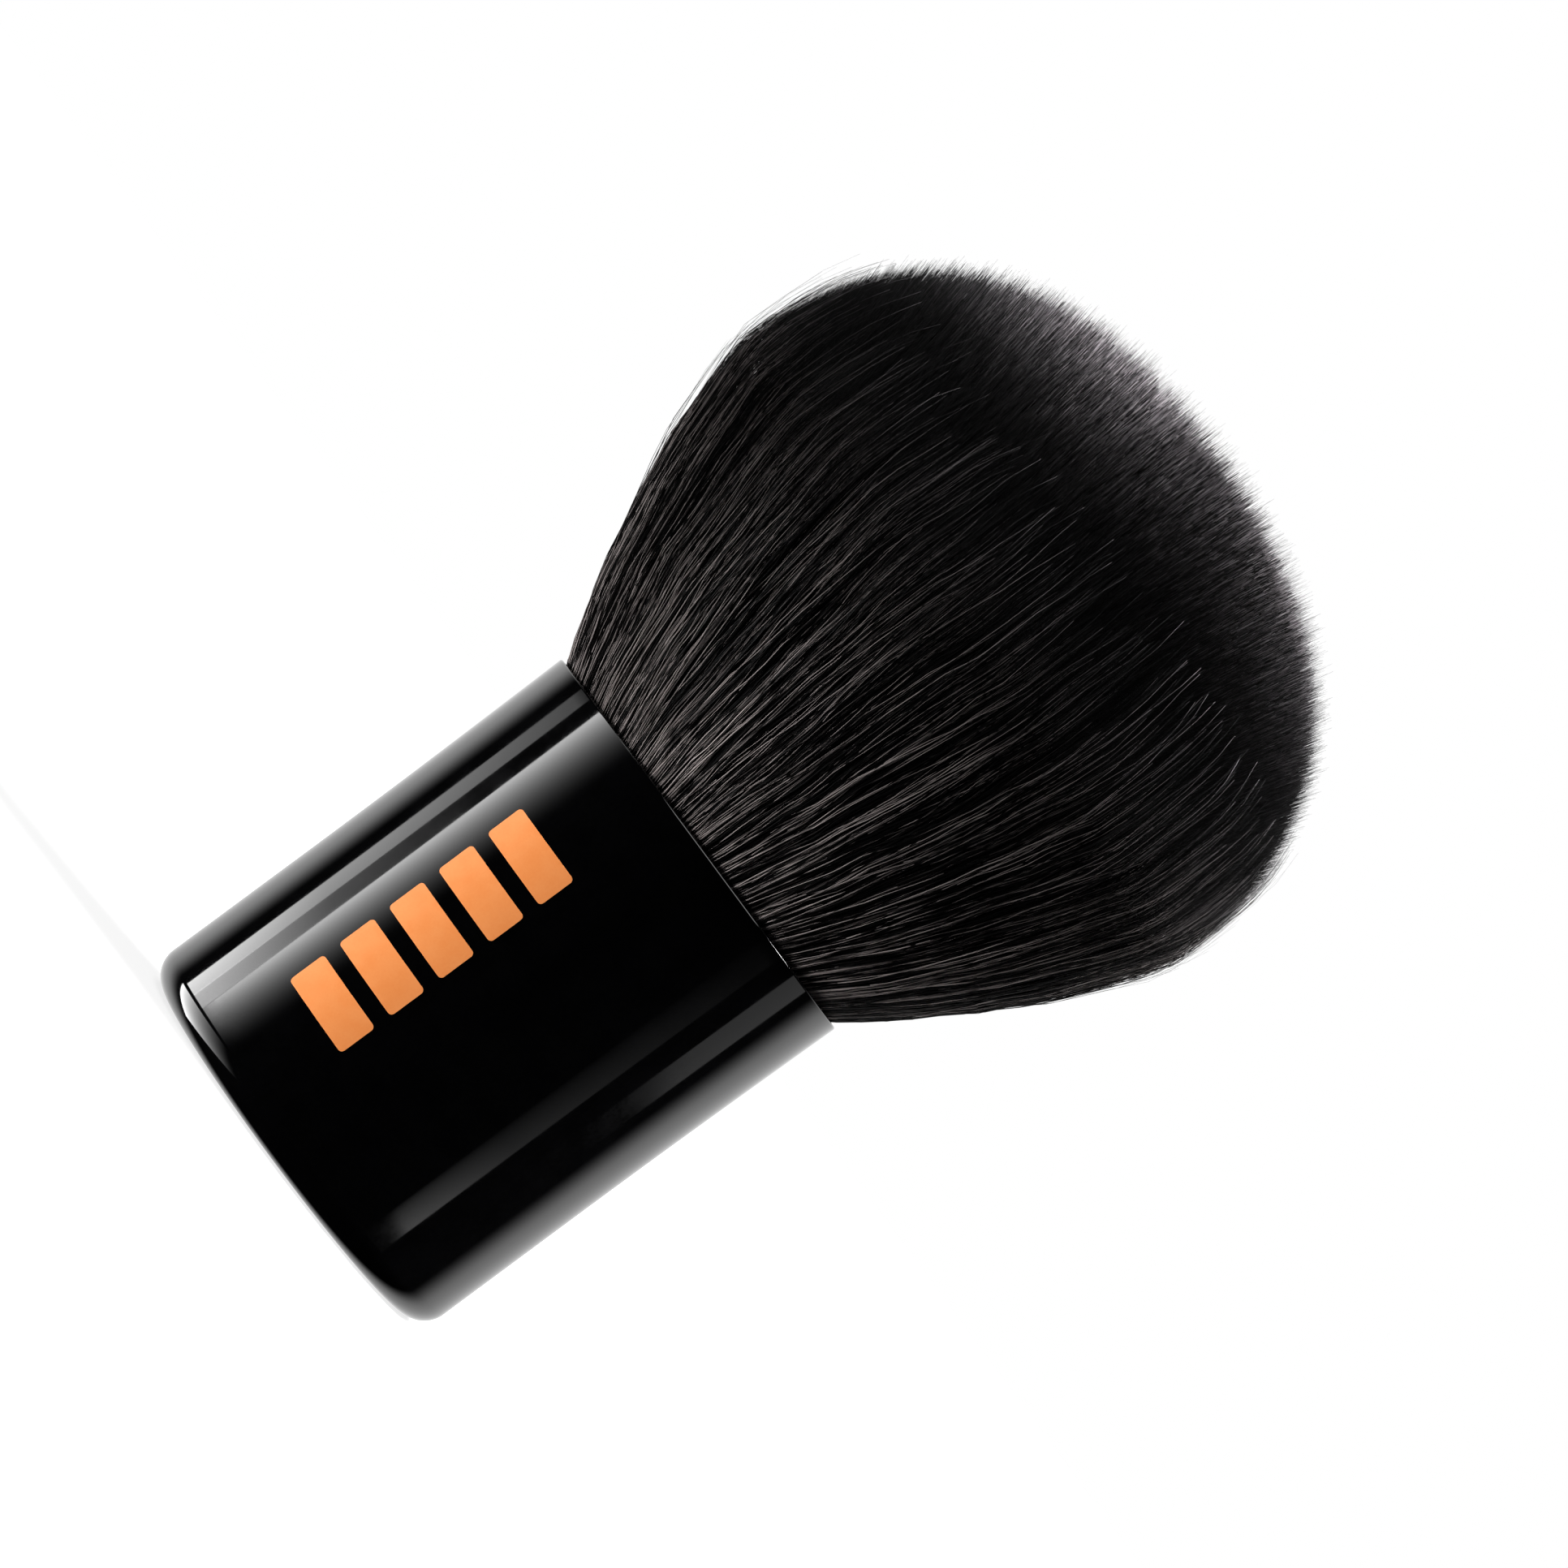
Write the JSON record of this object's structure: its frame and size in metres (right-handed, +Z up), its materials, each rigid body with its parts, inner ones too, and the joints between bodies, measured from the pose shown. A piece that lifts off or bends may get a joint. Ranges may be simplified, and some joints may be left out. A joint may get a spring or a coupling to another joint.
{
  "type": "kabuki makeup brush",
  "caption": "Short round makeup brush with a weighted gloss black handle cup and a dense domed head of fine black bristles, for laying loose powder on the face.",
  "frame": {"origin": "middle of the flat base that the brush stands on", "axes": "+Z up the axis from the base to the crown of the bristles; the printed mark faces -Y, turned a little to -X"},
  "size_m": [0.049, 0.049, 0.0756],
  "materials": {
    "black_lacquer": "gloss black lacquer over drawn aluminium",
    "orange_ink": "thin screen print, satin",
    "foam_tape": "double-sided foam tape",
    "plain_steel": "turned, oiled",
    "moulded_core": "moulded, fine grain",
    "bare_aluminium": "drawn, unpainted",
    "epoxy": "cast, amber",
    "waxed_thread": "waxed, twisted",
    "black_bristle": "fine tapered synthetic filament, soft tips"
  },
  "bodies": {
    "root": {"handle_shell": "black_lacquer", "printed_mark": "orange_ink", "weight_tape": "foam_tape", "base_weight": "plain_steel", "core_insert": "moulded_core", "knot_cup": "bare_aluminium", "glue_plug": "epoxy", "knot_tie": "waxed_thread", "sealing_bead": "epoxy", "bristle_bundle": "black_bristle"}
  },
  "joints": []
}
